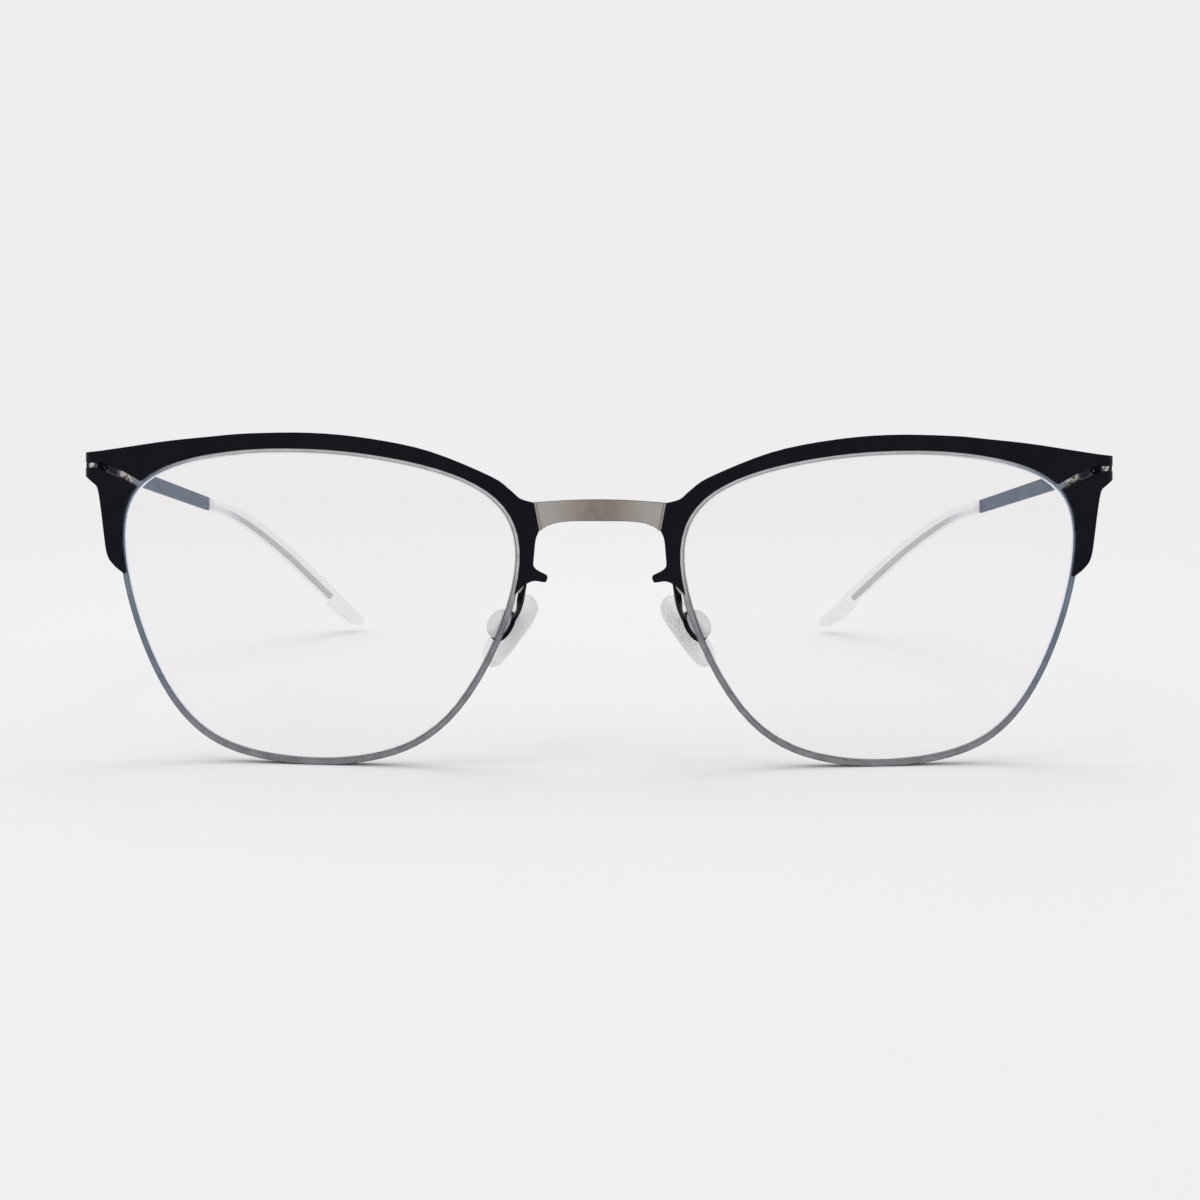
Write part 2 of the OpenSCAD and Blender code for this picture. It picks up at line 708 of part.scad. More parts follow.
// Gap between the turns of the rolled coil, from where the strip leaves it
module coil_gap() {
    outer = coil_r - strip_t;
    inner = outer - turn_gap;
    translate([-outer, 0])
        square([turn_gap, coil_r]);
    intersection() {
        difference() {
            circle(r = outer, $fn = 64);
            circle(r = inner, $fn = 64);
        }
        polygon(concat([[0, 0]], [for (i = [0 : 6])
            let (a = 180 + coil_wrap * i / 6) 2 * coil_r * [cos(a), sin(a)]]));
    }
}

module temple_tip() {
    stations = concat([for (i = [0 : 24]) tip_start + (temple_len - paddle_len - tip_start) * i / 24],
                      [for (d = [0.4, 0.8, 1.2, 3, 5, 6, 6.8, 7.5, 8.1, 8.6, 9])
                          temple_len - paddle_len + d / 9 * paddle_len]);
    outer = [for (s = stations) tip_ring(s)];
    core = [for (s = concat([tip_start - 1], core_stations, [core_end + 0.3]))
        let (w = strip_t / 2 + core_clear,
             m = strip_mid(s),
             h = strip_half(max(s, tip_start)) + core_clear)
        [temple_at(s, w, m - h), temple_at(s, w, m + h), temple_at(s, -w, m + h), temple_at(s, -w, m - h)]];
    color(clear, 0.5)
        difference() {
            ring_sweep(outer);
            ring_sweep(core);
        }
}

// Piece of the wearer's left side in its place, and the same piece on the right
module left_side() {
    translate([0, -mid_y, 0])
        children();
}
module right_side() {
    left_side()
        mirror([1, 0, 0])
            children();
}

left_side() bridge();
left_side() brow();  // brow_left
right_side() brow();  // brow_right
left_side() cheek();  // cheek_left
right_side() cheek();  // cheek_right
left_side() rim();  // rim_left
right_side() rim();  // rim_right
left_side() lens();  // lens_left
right_side() lens();  // lens_right
left_side() pad_arm();  // pad_arm_left
right_side() pad_arm();  // pad_arm_right
left_side() nose_pad();  // nose_pad_left
right_side() nose_pad();  // nose_pad_right
left_side() temple();  // temple_left
right_side() temple();  // temple_right
left_side() temple_tip();  // temple_tip_left
right_side() temple_tip();  // temple_tip_right
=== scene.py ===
import json
import math

import bpy
from mathutils import Matrix, Vector


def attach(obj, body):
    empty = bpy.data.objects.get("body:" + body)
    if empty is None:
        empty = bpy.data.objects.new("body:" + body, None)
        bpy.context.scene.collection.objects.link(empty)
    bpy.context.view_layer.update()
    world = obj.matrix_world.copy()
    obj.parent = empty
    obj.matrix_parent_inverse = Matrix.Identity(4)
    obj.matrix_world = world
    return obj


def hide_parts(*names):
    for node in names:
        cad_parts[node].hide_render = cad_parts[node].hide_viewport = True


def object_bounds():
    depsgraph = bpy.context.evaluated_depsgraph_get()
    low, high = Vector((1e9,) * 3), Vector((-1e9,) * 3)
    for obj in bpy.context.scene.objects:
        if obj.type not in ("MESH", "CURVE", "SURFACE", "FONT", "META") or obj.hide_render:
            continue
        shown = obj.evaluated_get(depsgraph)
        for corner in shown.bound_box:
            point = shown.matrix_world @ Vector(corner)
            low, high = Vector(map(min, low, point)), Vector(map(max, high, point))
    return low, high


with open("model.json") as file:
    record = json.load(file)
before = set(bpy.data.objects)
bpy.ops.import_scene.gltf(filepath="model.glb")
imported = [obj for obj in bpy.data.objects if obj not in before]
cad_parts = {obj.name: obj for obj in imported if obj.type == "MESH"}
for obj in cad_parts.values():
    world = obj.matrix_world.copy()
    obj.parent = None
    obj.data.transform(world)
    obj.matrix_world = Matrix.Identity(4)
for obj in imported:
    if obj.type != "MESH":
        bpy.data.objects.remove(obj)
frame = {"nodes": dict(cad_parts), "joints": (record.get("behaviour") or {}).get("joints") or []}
cad_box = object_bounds()
nodes = frame["nodes"]
MM = 0.001

# Sizes shared with the frame's solids, in millimetres
RIM_BOX_W = 51.6
RIM_BOX_H = 40.0
HALF_GAP = 9.7
FRONT_R = 320.0
RIM_W = 0.7
RIM_FRONT = 0.52
LENS_T = 1.3
LENS_R = 300.0
LENS_PLAY = 0.04
COIL_SIDE = 0.7
TEMPLE_SLOPE = math.radians(7.5)
TAIL_SLOPE = math.radians(38)
STRAIGHT_LEN = 84.0
EAR_BEND_R = 55.0
INWARD_START = 79.0
INWARD_R = 60.0
INWARD_ANGLE = math.radians(30)
TIP_START = 73.0
TIP_T = 2.0
TIP_H = 2.5
TAIL_H = 3.0
PADDLE_H = 4.0
PADDLE_LEN = 9.0
END_TAPER = 0.75
SHEET_T = 0.5
PAD_LEN = 10.6
PAD_W = 6.2
PAD_T = 1.6
PAD_SPLAY = math.radians(25)
PAD_LEAN = math.radians(34)
PAD_CLEAR = 0.04
BUTTON_UP = 0.2
BUTTON_R = 1.9
BUTTON_T = 1.4
NECK_R = 0.9
HALF_PAD_SPAN = 13.0
PAD_Z = 17.4
PAD_BACK = 7.4

# Depth of the foremost point, and the place of the left hinge, both from the frame's origin
FRONT_Y = cad_box[0][1] / MM
HINGE_X, HINGE_Y, HINGE_Z = (v / MM for v in frame["joints"][0]["pos_m"])


# Working by hand: selecting, finishing and copying pieces
def deselect():
    if bpy.context.object and bpy.context.object.mode != "OBJECT":
        bpy.ops.object.mode_set(mode="OBJECT")
    bpy.ops.object.select_all(action="DESELECT")


def pick(obj):
    deselect()
    obj.select_set(True)
    bpy.context.view_layer.objects.active = obj
    return obj


def edit(obj, what="VERT"):
    pick(obj)
    bpy.ops.object.mode_set(mode="EDIT")
    bpy.ops.mesh.select_mode(type=what)


def leave_edit():
    bpy.ops.object.mode_set(mode="OBJECT")


def settle(obj, name):
    """Names a piece and puts its place into its mesh."""
    pick(obj)
    obj.name = name
    obj.data.name = name
    bpy.ops.object.transform_apply(location=True, rotation=True, scale=True)
    return obj


def face_outwards(obj):
    edit(obj)
    bpy.ops.mesh.select_all(action="SELECT")
    bpy.ops.mesh.remove_doubles(threshold=0.001 * MM)
    bpy.ops.mesh.normals_make_consistent(inside=False)
    leave_edit()


def smooth(obj, degrees=40):
    pick(obj)
    bpy.ops.object.shade_smooth_by_angle(angle=math.radians(degrees))


def apply_modifier(obj, kind, **settings):
    pick(obj)
    mod = obj.modifiers.new(kind.lower(), kind)
    for key, value in settings.items():
        setattr(mod, key, value)
    bpy.ops.object.modifier_apply(modifier=mod.name)


def other_side(obj, name):
    """The same piece for the right side, with a mesh of its own."""
    pick(obj)
    bpy.ops.object.duplicate()
    twin = bpy.context.object
    twin.data.transform(Matrix.Scale(-1, 4, (1, 0, 0)))
    twin.name = name
    twin.data.name = name
    face_outwards(twin)
    smooth(twin)
    return twin


# Materials
def new_material(name):
    mat = bpy.data.materials.new(name)
    mat.use_nodes = True
    tree = mat.node_tree
    return mat, tree, tree.nodes["Principled BSDF"]


def set_sockets(shader, **values):
    for key, value in values.items():
        shader.inputs[key.replace("_", " ")].default_value = value


def object_coords(tree, scale=(1, 1, 1)):
    coords = tree.nodes.new("ShaderNodeTexCoord")
    mapping = tree.nodes.new("ShaderNodeMapping")
    mapping.inputs["Scale"].default_value = scale
    tree.links.new(coords.outputs["Object"], mapping.inputs["Vector"])
    return mapping.outputs["Vector"]


def noise(tree, vector, scale, detail, roughness=0.5):
    tex = tree.nodes.new("ShaderNodeTexNoise")
    tex.inputs["Scale"].default_value = scale
    tex.inputs["Detail"].default_value = detail
    tex.inputs["Roughness"].default_value = roughness
    tree.links.new(vector, tex.inputs["Vector"])
    return tex.outputs["Fac"]


def ramp(tree, value, stops):
    node = tree.nodes.new("ShaderNodeValToRGB")
    elements = node.color_ramp.elements
    while len(elements) < len(stops):
        elements.new(0.5)
    for element, (place, colour) in zip(elements, stops):
        element.position = place
        element.color = (*colour, 1)
    tree.links.new(value, node.inputs["Fac"])
    return node.outputs["Color"]


def spread(tree, value, low, high, out_low, out_high):
    node = tree.nodes.new("ShaderNodeMapRange")
    node.inputs["From Min"].default_value = low
    node.inputs["From Max"].default_value = high
    node.inputs["To Min"].default_value = out_low
    node.inputs["To Max"].default_value = out_high
    tree.links.new(value, node.inputs["Value"])
    return node.outputs["Result"]


def between(tree, value, places, out_low=0, out_high=1):
    """Runs from out_low to out_high between two places, which are in millimetres."""
    return spread(tree, value, places[0] * MM, places[1] * MM, out_low, out_high)


def feed(tree, shader, **values):
    for key, value in values.items():
        tree.links.new(value, shader.inputs[key.replace("_", " ")])


def bumpy(tree, shader, height, depth, strength):
    node = tree.nodes.new("ShaderNodeBump")
    node.inputs["Strength"].default_value = strength
    node.inputs["Distance"].default_value = depth
    tree.links.new(height, node.inputs["Height"])
    tree.links.new(node.outputs["Normal"], shader.inputs["Normal"])


# How nearly the rounded normal agrees with the face's own: away from an edge, and on it
OFF_EDGE, ON_EDGE = 0.995, 0.8


def round_edges(tree, shader, radius):
    """Softens the light on the sharp edges of a solid, under any bump, and tells where they are."""
    node = tree.nodes.new("ShaderNodeBevel")
    node.samples = 4
    node.inputs["Radius"].default_value = radius
    bumps = [n for n in tree.nodes if n.type == "BUMP"]
    for target in ([n.inputs["Normal"] for n in bumps] or [shader.inputs["Normal"]]):
        tree.links.new(node.outputs["Normal"], target)
    face = tree.nodes.new("ShaderNodeNewGeometry")
    turn = tree.nodes.new("ShaderNodeVectorMath")
    turn.operation = "DOT_PRODUCT"
    tree.links.new(node.outputs["Normal"], turn.inputs[0])
    tree.links.new(face.outputs["True Normal"], turn.inputs[1])
    return spread(tree, turn.outputs["Value"], OFF_EDGE, ON_EDGE, 0, 1)


def axis_of(tree, vector, axis):
    node = tree.nodes.new("ShaderNodeSeparateXYZ")
    tree.links.new(vector, node.inputs["Vector"])
    return node.outputs[axis]


def math_node(tree, kind, a, b=None):
    node = tree.nodes.new("ShaderNodeMath")
    node.operation = kind
    for k, v in ((0, a), (1, b)):
        if v is None:
            continue
        if isinstance(v, (int, float)):
            node.inputs[k].default_value = v
        else:
            tree.links.new(v, node.inputs[k])
    return node.outputs["Value"]


def mix_colour(tree, share, a, b):
    """Mixes two colours, through the Mix node's colour sockets: inputs 6 and 7, output 2."""
    node = tree.nodes.new("ShaderNodeMix")
    node.data_type = "RGBA"
    tree.links.new(share, node.inputs["Factor"])
    for socket, v in ((node.inputs[6], a), (node.inputs[7], b)):
        if isinstance(v, tuple):
            socket.default_value = (*v, 1)
        else:
            tree.links.new(v, socket)
    return node.outputs[2]


def mix_shaders(tree, share, first, second):
    node = tree.nodes.new("ShaderNodeMixShader")
    tree.links.new(share, node.inputs["Fac"])
    tree.links.new(first, node.inputs[1])
    tree.links.new(second, node.inputs[2])
    return node.outputs["Shader"]


def marked(tree, attribute):
    node = tree.nodes.new("ShaderNodeAttribute")
    node.attribute_name = attribute
    return node.outputs["Fac"]


# The pads' attribute: 0 off the button, this at the button's side, 1 in its middle; towards the
# side it paints shade
BUTTON_SIDE = 0.5

# The part of a noise's range that shows as clouds
CLOUDS = (0.3, 0.7)

# Where a finish, a painted light or a painted shade changes, in millimetres: away from the middle
# plane, or up from the floor
BRIDGE_WARM = (1.2, 6)
# Heights over which the rim's painted light turns from darker below to lighter above
RIM_LIT_ABOVE = (18, 25)
RIM_BLUER_OUT = (50, 58)
SLIT_UP = (34.2, 34.6)
SLIT_OUT = (59.2, 59.6)
# Distances beyond which the rim's hidden end is made black, as painted shade of the slit
RIM_SLIT_SHADE = (61.3, 61.7)
# Distances over which the lens's painted edge turns from shade to a blue glint
LENS_GLINT_OUT = (46, 54)

# Along a temple, in millimetres behind the hinge and behind the tip's front end
COIL_BLACK = (10, 6)
BARE_IN_TIP = (-0.4, 0.1)
FROSTED_TO = (12, 21)

# The painted highlight on the knuckle, drawn as patches of bare steel: its middle away from the
# middle plane, and how it fades
HIGHLIGHT_OUT = 64.75
HIGHLIGHT_FADE = (0.65, 0.3)


def satin_black(name):
    """Satin black paint on sheet steel."""
    mat, tree, bsdf = new_material(name)
    set_sockets(bsdf, Specular_IOR_Level=0.09, Metallic=0.0)
    where = object_coords(tree)
    cloud = noise(tree, where, 260, 4)
    feed(tree, bsdf,
         Base_Color=ramp(tree, cloud, [(CLOUDS[0], (0.0022, 0.0018, 0.006)),
                                       (CLOUDS[1], (0.0045, 0.004, 0.0085))]),
         Roughness=spread(tree, cloud, *CLOUDS, 0.34, 0.46))
    bumpy(tree, bsdf, noise(tree, where, 9000, 2), 0.004 * MM, 0.6)
    round_edges(tree, bsdf, 0.08 * MM)
    return mat


def bridge_steel(name):
    """Bare brushed steel, warm and mottled in the middle, cooler at the ends, with painted shade
    darkening its edges.
    """
    mat, tree, bsdf = new_material(name)
    set_sockets(bsdf, Metallic=1.0)
    across = axis_of(tree, object_coords(tree), "X")
    middle = between(tree, math_node(tree, "ABSOLUTE", across), BRIDGE_WARM, 1, 0)
    streaks = noise(tree, object_coords(tree, (900, 900, 6500)), 1, 4, 0.6)
    mottle = noise(tree, object_coords(tree, (1000, 300, 500)), 1, 4, 0.65)
    warm = mix_colour(tree, mottle, (0.185, 0.15, 0.13), (0.33, 0.285, 0.255))
    cool = mix_colour(tree, streaks, (0.34, 0.315, 0.295), (0.45, 0.42, 0.4))
    bumpy(tree, bsdf, streaks, 0.004 * MM, 0.5)
    edges = round_edges(tree, bsdf, 0.2 * MM)
    steel = mix_colour(tree, middle, cool, warm)
    # Painted shade: the steel colour is darkened on the sharp edges.
    feed(tree, bsdf, Base_Color=mix_colour(tree, edges, steel, (0.06, 0.05, 0.045)),
         Roughness=spread(tree, streaks, *CLOUDS, 0.3, 0.42))
    return mat


def rim_steel(name):
    """Satin steel wire, painted lighter above and darker below for the light falling on it, with
    painted shade on its edges; bluer towards the hinge, scuffed in the slit, then black at its end
    as painted shade of the slit.
    """
    mat, tree, bsdf = new_material(name)
    set_sockets(bsdf, Specular_IOR_Level=0.08)
    where = object_coords(tree)
    cloud = noise(tree, where, 700, 4)
    out = math_node(tree, "ABSOLUTE", axis_of(tree, where, "X"))
    up = axis_of(tree, where, "Z")
    bumpy(tree, bsdf, noise(tree, where, 8000, 2), 0.003 * MM, 0.5)
    edges = round_edges(tree, bsdf, 0.2 * MM)
    # Painted light: the wire gets a darker colour below and a lighter one above, for how the light
    # falls on it.
    low = ramp(tree, cloud, [(0.35, (0.2, 0.195, 0.215)), (0.65, (0.27, 0.265, 0.29))])
    high = ramp(tree, cloud, [(0.35, (0.46, 0.46, 0.47)), (0.65, (0.6, 0.6, 0.61))])
    steel = mix_colour(tree, between(tree, up, RIM_LIT_ABOVE), low, high)
    # Painted shade: the wire's colour is darkened on its edges.
    steel = mix_colour(tree, edges, steel, (0.06, 0.06, 0.07))
    # The wire turns bluer towards the hinge.
    bluish = mix_colour(tree, cloud, (0.11, 0.135, 0.19), (0.19, 0.225, 0.3))
    steel = mix_colour(tree, between(tree, out, RIM_BLUER_OUT, 0, 0.85), steel, bluish)
    specks = spread(tree, noise(tree, where, 2600, 2, 0.7), 0.42, 0.58, 0, 1)
    scuffed = mix_colour(tree, specks, (0.05, 0.045, 0.04), (0.5, 0.47, 0.44))
    in_slit = math_node(tree, "MULTIPLY", between(tree, up, SLIT_UP),
                        between(tree, out, SLIT_OUT))
    steel = mix_colour(tree, in_slit, steel, scuffed)
    # Painted shade: the rim's end behind the slit is made black and not metallic, standing for the
    # dark inside the slit.
    slit_shade = between(tree, out, RIM_SLIT_SHADE)
    feed(tree, bsdf, Base_Color=mix_colour(tree, slit_shade, steel, (0.004, 0.004, 0.005)),
         Metallic=spread(tree, slit_shade, 0, 1, 1, 0),
         Roughness=spread(tree, cloud, *CLOUDS, 0.24, 0.36))
    return mat


def temple_strip(name):
    """Dark blue paint, its blue partly a painted sheen, black by the coil, with a painted highlight
    of bare steel patches on the knuckle in the slit; bare steel inside the tip.
    """
    mat, tree, bsdf = new_material(name)
    set_sockets(bsdf, IOR=1.35, Specular_IOR_Level=0.3, Specular_Tint=(0.5, 0.75, 1, 1))
    where = object_coords(tree)
    cloud = noise(tree, where, 400, 4)
    along = axis_of(tree, where, "Y")
    out = math_node(tree, "ABSOLUTE", axis_of(tree, where, "X"))
    tip = HINGE_Y + TIP_START
    in_tip = between(tree, along, [tip + d for d in BARE_IN_TIP])
    frosted = between(tree, along, [tip + d for d in FROSTED_TO], 1, 0)
    on_coil = between(tree, along, [HINGE_Y + d for d in COIL_BLACK])
    # Painted highlight: bright bare-steel patches on the knuckle stand for the glint of light on
    # it.
    away = math_node(tree, "ABSOLUTE", math_node(tree, "SUBTRACT", out, HIGHLIGHT_OUT * MM))
    highlight_patches = spread(tree, noise(tree, where, 2600, 2), 0.4, 0.6, 0.1, 1)
    knuckle_highlight = math_node(tree, "MULTIPLY", math_node(tree, "MULTIPLY", on_coil, highlight_patches),
                       between(tree, away, HIGHLIGHT_FADE))
    # The strip's dark blue is partly its paint and partly a painted sheen of grazing reflection and
    # the lens coating.
    blue_paint_and_sheen = mix_colour(tree, cloud, (0.012, 0.04, 0.095), (0.02, 0.052, 0.115))
    paint = mix_colour(tree, on_coil, blue_paint_and_sheen, (0.005, 0.005, 0.007))
    steel = mix_colour(tree, cloud, (0.4, 0.39, 0.38), (0.52, 0.51, 0.5))
    pale = math_node(tree, "MULTIPLY", frosted, in_tip)
    steel = mix_colour(tree, pale, steel, (0.93, 0.93, 0.94))
    highlight_steel = mix_colour(tree, cloud, (0.35, 0.35, 0.36), (0.85, 0.85, 0.87))
    steel = mix_colour(tree, knuckle_highlight, steel, highlight_steel)
    dull = math_node(tree, "MULTIPLY", on_coil, math_node(tree, "SUBTRACT", 1.0, knuckle_highlight))
    satin = spread(tree, cloud, *CLOUDS, 0.3, 0.4)
    bare_and_highlight = math_node(tree, "MAXIMUM", in_tip, knuckle_highlight)
    feed(tree, bsdf, Base_Color=mix_colour(tree, bare_and_highlight, paint, steel),
         Metallic=math_node(tree, "MAXIMUM", knuckle_highlight,
                            math_node(tree, "SUBTRACT", in_tip, frosted)),
         Roughness=math_node(tree, "MAXIMUM", satin, dull))
    bumpy(tree, bsdf, noise(tree, where, 4000, 2), 0.002 * MM, 0.3)
    return mat


def see_through(tree, shader, shade):
    """Light passes through to the floor without the dark shadow of a solid."""
    path = tree.nodes.new("ShaderNodeLightPath")
    air = tree.nodes.new("ShaderNodeBsdfTransparent")
    air.inputs["Color"].default_value = (*shade, 1)
    light = math_node(tree, "MAXIMUM", path.outputs["Is Shadow Ray"],
                      path.outputs["Is Diffuse Ray"])
    mixed = mix_shaders(tree, light, shader.outputs["BSDF"], air.outputs["BSDF"])
    tree.links.new(mixed, tree.nodes["Material Output"].inputs["Surface"])


def coated_lens(name):
    """Clear lens, faintly pink as a painted veil, its edge painted with shade towards the nose and
    with a blue glint towards the hinge.
    """
    mat, tree, bsdf = new_material(name)
    set_sockets(bsdf, Roughness=0.0, Transmission_Weight=1.0, IOR=1.5,
                Thin_Film_Thickness=120.0, Thin_Film_IOR=1.38)
    where = object_coords(tree)
    cloud = noise(tree, where, 60, 2)
    # The faint pink of the clear part is a painted veil for the pink the coating reflects.
    clear = mix_colour(tree, cloud, (0.982, 0.96, 0.968), (0.987, 0.968, 0.976))
    out = math_node(tree, "ABSOLUTE", axis_of(tree, where, "X"))
    # Painted light on the edge band: the shade of the rim's groove towards the nose, turning into a
    # blue glint of light through the edge towards the hinge.
    painted_edge = mix_colour(tree, between(tree, out, LENS_GLINT_OUT), (0.16, 0.16, 0.2), (0.45, 0.6, 0.9))
    feed(tree, bsdf, Base_Color=mix_colour(tree, marked(tree, "edge"), clear, painted_edge))
    see_through(tree, bsdf, (0.985, 0.985, 0.985))
    return mat


def milky_silicone(name):
    """Soft translucent silicone of the nose pads, denser in the button, with painted shade greying
    the button's side.
    """
    mat, tree, bsdf = new_material(name)
    set_sockets(bsdf, IOR=1.3, Specular_IOR_Level=0.4)
    where = object_coords(tree)
    cloud = noise(tree, where, 500, 3)
    button = marked(tree, "button")
    pale = mix_colour(tree, cloud, (0.94, 0.94, 0.965), (0.98, 0.98, 0.995))
    in_middle = spread(tree, button, BUTTON_SIDE, 1, 0, 1)
    # Painted shade: the button's colour greys from its pale middle towards its side.
    end = mix_colour(tree, in_middle, (0.62, 0.62, 0.64), (0.99, 0.985, 0.975))
    on_button = spread(tree, button, 0, BUTTON_SIDE, 0, 1)
    feed(tree, bsdf, Base_Color=mix_colour(tree, on_button, pale, end),
         Roughness=spread(tree, cloud, *CLOUDS, 0.28, 0.42),
         Transmission_Weight=spread(tree, button, 0, 1, 0.66, 0.32))
    bumpy(tree, bsdf, noise(tree, where, 2500, 2), 0.01 * MM, 0.4)
    see_through(tree, bsdf, (0.8, 0.8, 0.82))
    return mat


def clear_plastic(name):
    """Slightly dull clear plastic of the temple tips, seen through without refraction."""
    mat, tree, bsdf = new_material(name)
    set_sockets(bsdf, IOR=1.4, Specular_IOR_Level=0.3, Alpha=0.32)
    where = object_coords(tree)
    cloud = noise(tree, where, 300, 3)
    feed(tree, bsdf, Base_Color=mix_colour(tree, cloud, (0.9, 0.9, 0.905), (0.95, 0.95, 0.955)),
         Roughness=spread(tree, cloud, *CLOUDS, 0.3, 0.4))
    bumpy(tree, bsdf, noise(tree, where, 300, 2), 0.004 * MM, 0.15)
    see_through(tree, bsdf, (0.78, 0.78, 0.79))
    return mat


def dress(node, mat):
    for slot in nodes[node].material_slots:
        slot.material = mat


def coat(obj, mat):
    obj.data.materials.clear()
    obj.data.materials.append(mat)


# Rim outline: a smooth closed curve on twelve corners, as shares of half its box
RIM_SHAPE = [(1.02, 0.21), (1.01, 0.82), (0.5, 0.99), (0.12, 1.01), (-0.29, 0.98), (-0.9, 0.8),
             (-1.09, 0.3), (-0.72, -0.78), (-0.27, -1), (0.14, -1.01), (0.55, -0.91), (0.82, -0.51)]
PER_SPAN = 8
SPAN_STEP = 0.02

# Lens: how far it lies behind the rim's front, its rings as shares of its outline, and its edge
# band, where shade and a glint are painted
LENS_BACK = 0.1
LENS_RINGS = [1, 0.99, 0.955] + [0.91 - 0.07 * k for k in range(13)]
LENS_EDGE = 0.08


def raw_rim(u):
    i = math.floor(u)
    t = u - i
    weights = ((1 - t) ** 3 / 6, (3 * t ** 3 - 6 * t * t + 4) / 6,
               (-3 * t ** 3 + 3 * t * t + 3 * t + 1) / 6, t ** 3 / 6)
    corners = [Vector(RIM_SHAPE[(i + k) % len(RIM_SHAPE)]) for k in (-1, 0, 1, 2)]
    return sum((w * c for w, c in zip(weights, corners)), Vector((0, 0)))


RAW = [raw_rim(i / PER_SPAN) for i in range(len(RIM_SHAPE) * PER_SPAN)]
RAW_LOW = Vector((min(p.x for p in RAW), min(p.y for p in RAW)))
RAW_SIZE = Vector((max(p.x for p in RAW), max(p.y for p in RAW))) - RAW_LOW


def rim_at(u):
    p = raw_rim(u) - RAW_LOW
    return Vector((HALF_GAP + p.x / RAW_SIZE.x * RIM_BOX_W, p.y / RAW_SIZE.y * RIM_BOX_H))


def beside_rim(u, out):
    along = (rim_at(u + SPAN_STEP) - rim_at(u - SPAN_STEP)).normalized()
    return rim_at(u) + out * Vector((along.y, -along.x))


def make_lens(name, mat):
    """Lens: its outline filled by rings drawn in to the middle, domed, then given its thickness."""
    outline = [beside_rim(i / PER_SPAN, -RIM_W - LENS_PLAY) for i in range(len(RAW))]
    deselect()
    bpy.ops.mesh.primitive_circle_add(vertices=len(RAW), radius=1, location=(0, 0, 0))
    lens = bpy.context.object
    for v, p in zip(lens.data.vertices, outline):
        v.co = (p.x * MM, 0, p.y * MM)
    mid = Vector((HALF_GAP + RIM_BOX_W / 2, 0, RIM_BOX_H / 2)) * MM
    edit(lens)
    bpy.ops.mesh.select_all(action="SELECT")
    for share, inner in zip(LENS_RINGS, LENS_RINGS[1:]):
        bpy.ops.mesh.extrude_edges_move()
        bpy.ops.transform.resize(value=(inner / share, 1, inner / share),
                                 center_override=mid)
    bpy.ops.mesh.extrude_edges_move()
    bpy.ops.mesh.merge(type="CENTER")
    leave_edit()
    turn = math.asin((HALF_GAP + RIM_BOX_W / 2) / FRONT_R)
    out = Vector((math.sin(turn), -math.cos(turn)))
    ball = Vector((0, FRONT_R)) + (FRONT_R - RIM_FRONT - LENS_BACK) * out - LENS_R * out
    for v in lens.data.vertices:
        x, z = v.co.x / MM, v.co.z / MM
        reach = math.sqrt(LENS_R ** 2 - (x - ball.x) ** 2 - (z - RIM_BOX_H / 2) ** 2)
        v.co.y = (FRONT_Y + ball.y - reach) * MM
    face_outwards(lens)
    if lens.data.polygons[0].normal.y > 0:
        edit(lens)
        bpy.ops.mesh.select_all(action="SELECT")
        bpy.ops.mesh.flip_normals()
        leave_edit()
    apply_modifier(lens, "SOLIDIFY", thickness=LENS_T * MM, offset=-1)
    settle(lens, name)
    smooth(lens, 30)
    coat(lens, mat)
    # Marks the edge band, where the lens's material paints shade and a glint.
    painted_edge = lens.data.attributes.new("edge", "FLOAT", "POINT")
    for v, mark in zip(lens.data.vertices, painted_edge.data):
        gap = min((Vector((v.co.x, v.co.z)) - p * MM).length for p in outline)
        mark.value = 1 if gap < LENS_EDGE * MM else 0
    return lens


# Path of the left temple, as the frame's solids have it
TEMPLE_X = HINGE_X - COIL_SIDE
BEND_Y = HINGE_Y + STRAIGHT_LEN * math.cos(TEMPLE_SLOPE)
BEND_Z = HINGE_Z - STRAIGHT_LEN * math.sin(TEMPLE_SLOPE)
BEND_LEN = EAR_BEND_R * (TAIL_SLOPE - TEMPLE_SLOPE)
PADDLE_BELOW = PADDLE_H - TAIL_H / 2
TAIL_Z = BEND_Z - EAR_BEND_R * (math.cos(TEMPLE_SLOPE) - math.cos(TAIL_SLOPE))
TAIL_LEN = (TAIL_Z - END_TAPER * PADDLE_BELOW * math.cos(TAIL_SLOPE)) / math.sin(TAIL_SLOPE)
TEMPLE_LEN = STRAIGHT_LEN + BEND_LEN + TAIL_LEN
PADDLE_START = TEMPLE_LEN - PADDLE_LEN

# Tip: where it starts to grow taller, the paddle's form, and how long its end tapers each way
TIP_GROWS = 6
PADDLE_GROWS = 2
PADDLE_BULGE = 1.2
PADDLE_THIN = 0.86
TAPER_ABOVE, TAPER_BELOW, TAPER_ACROSS = 2, 4.5, 1.2

# Tip's rings: its corners and its front end, the rings up to the paddle and along it, its end face
TIP_CORNER = 0.68
TIP_MOUTH = 0.9
TIP_RINGS = 150
TIP_LIP = 0.15
PADDLE_RINGS = (0.3, 0.6, 0.9, 1.2, 2, 3, 4, 5, 6, 6.6, 7.2, 7.7, 8.1, 8.3, 8.48, 8.56)
END_INSET = 0.35
END_DOME = 0.02

# Steps of the curve that bends the tip, and of the measure along it
PATH_STEPS = 2700
MEASURE_STEPS = 600


